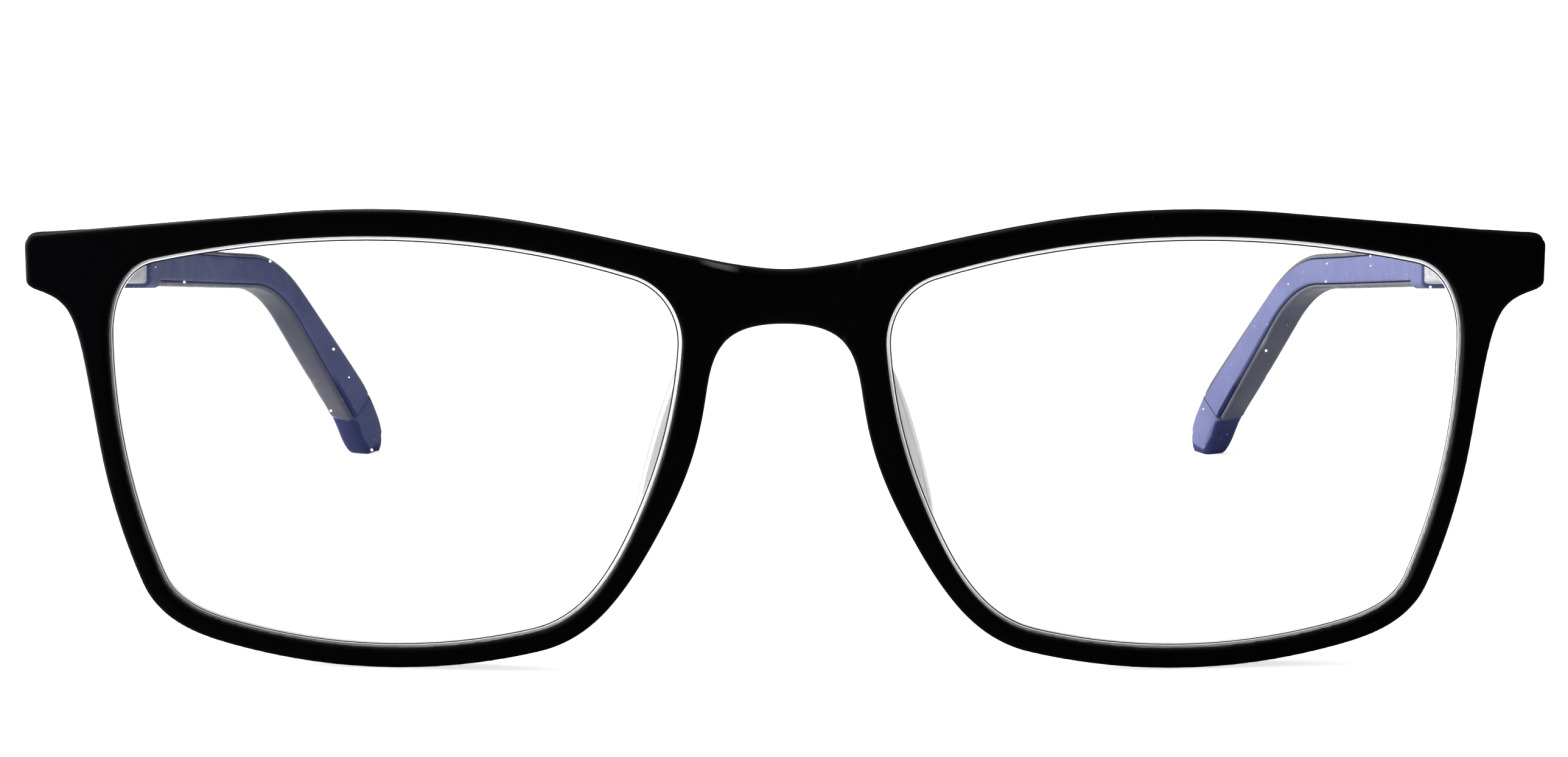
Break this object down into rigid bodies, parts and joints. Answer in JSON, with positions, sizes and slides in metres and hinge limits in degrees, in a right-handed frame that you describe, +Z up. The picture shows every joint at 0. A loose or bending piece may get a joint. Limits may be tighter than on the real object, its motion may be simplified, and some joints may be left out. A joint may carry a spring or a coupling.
{
  "type": "eyeglasses",
  "caption": "Full-rim rectangular blue light glasses: black front with clear lenses and soft nose pads, and blue and black temples that fold and flex on sprung hinges.",
  "frame": {"origin": "on the surface that the glasses stand on, under the middle of their box", "axes": "+X to the right as seen from the front, -Y the way the front faces, +Z up"},
  "size_m": [0.142, 0.127, 0.0428],
  "materials": {
    "frame_black": "fine matte moulded nylon, with polished chamfers",
    "lens_clear": "clear polished, with a faint blue anti-reflection coat",
    "pad_silicone": "translucent satin silicone",
    "satin_metal": "light grey satin",
    "screw_steel": "bright turned steel",
    "spring_steel": "drawn spring wire",
    "sleeve_blue": "soft satin blue, with fine wear",
    "cover_black": "soft matte black"
  },
  "bodies": {
    "front": {"front_frame": "frame_black", "lens_left": "lens_clear", "nose_pad_left": "pad_silicone", "hinge_leaf_left": "satin_metal", "leaf_screw_left": "screw_steel", "hinge_screw_left": "screw_steel", "lens_right": "lens_clear", "nose_pad_right": "pad_silicone", "hinge_leaf_right": "satin_metal", "leaf_screw_right": "screw_steel", "hinge_screw_right": "screw_steel"},
    "hinge_left": {"hinge_eye_left": "satin_metal", "spring_stop_left": "screw_steel"},
    "temple_left": {"housing_bush_left": "satin_metal", "flex_spring_left": "spring_steel", "spring_housing_left": "satin_metal", "temple_arm_left": "satin_metal", "temple_sleeve_left": "sleeve_blue", "temple_cover_left": "cover_black"},
    "hinge_right": {"hinge_eye_right": "satin_metal", "spring_stop_right": "screw_steel"},
    "temple_right": {"housing_bush_right": "satin_metal", "flex_spring_right": "spring_steel", "spring_housing_right": "satin_metal", "temple_arm_right": "satin_metal", "temple_sleeve_right": "sleeve_blue", "temple_cover_right": "cover_black"}
  },
  "joints": [
    {"name": "fold_left", "type": "hinge", "parent": "front", "child": "hinge_left", "pos_m": [-0.0677, -0.04921, 0.03705], "axis": [0, -0.1132, -0.9936], "range_deg": [-10, 86]},
    {"name": "fold_right", "type": "hinge", "parent": "front", "child": "hinge_right", "pos_m": [0.0677, -0.04921, 0.03705], "axis": [0, 0.1132, 0.9936], "range_deg": [-10, 81]},
    {"name": "spring_slide_left", "type": "slide", "parent": "hinge_left", "child": "temple_left", "axis": [0, 0.9936, -0.1132], "range_m": [0, 0.0008], "stiffness_N_per_m": 3000, "springref_m": -0.001, "deforming": ["flex_spring_left"]},
    {"name": "spring_slide_right", "type": "slide", "parent": "hinge_right", "child": "temple_right", "axis": [0, 0.9936, -0.1132], "range_m": [0, 0.0008], "stiffness_N_per_m": 3000, "springref_m": -0.001, "deforming": ["flex_spring_right"]}
  ]
}
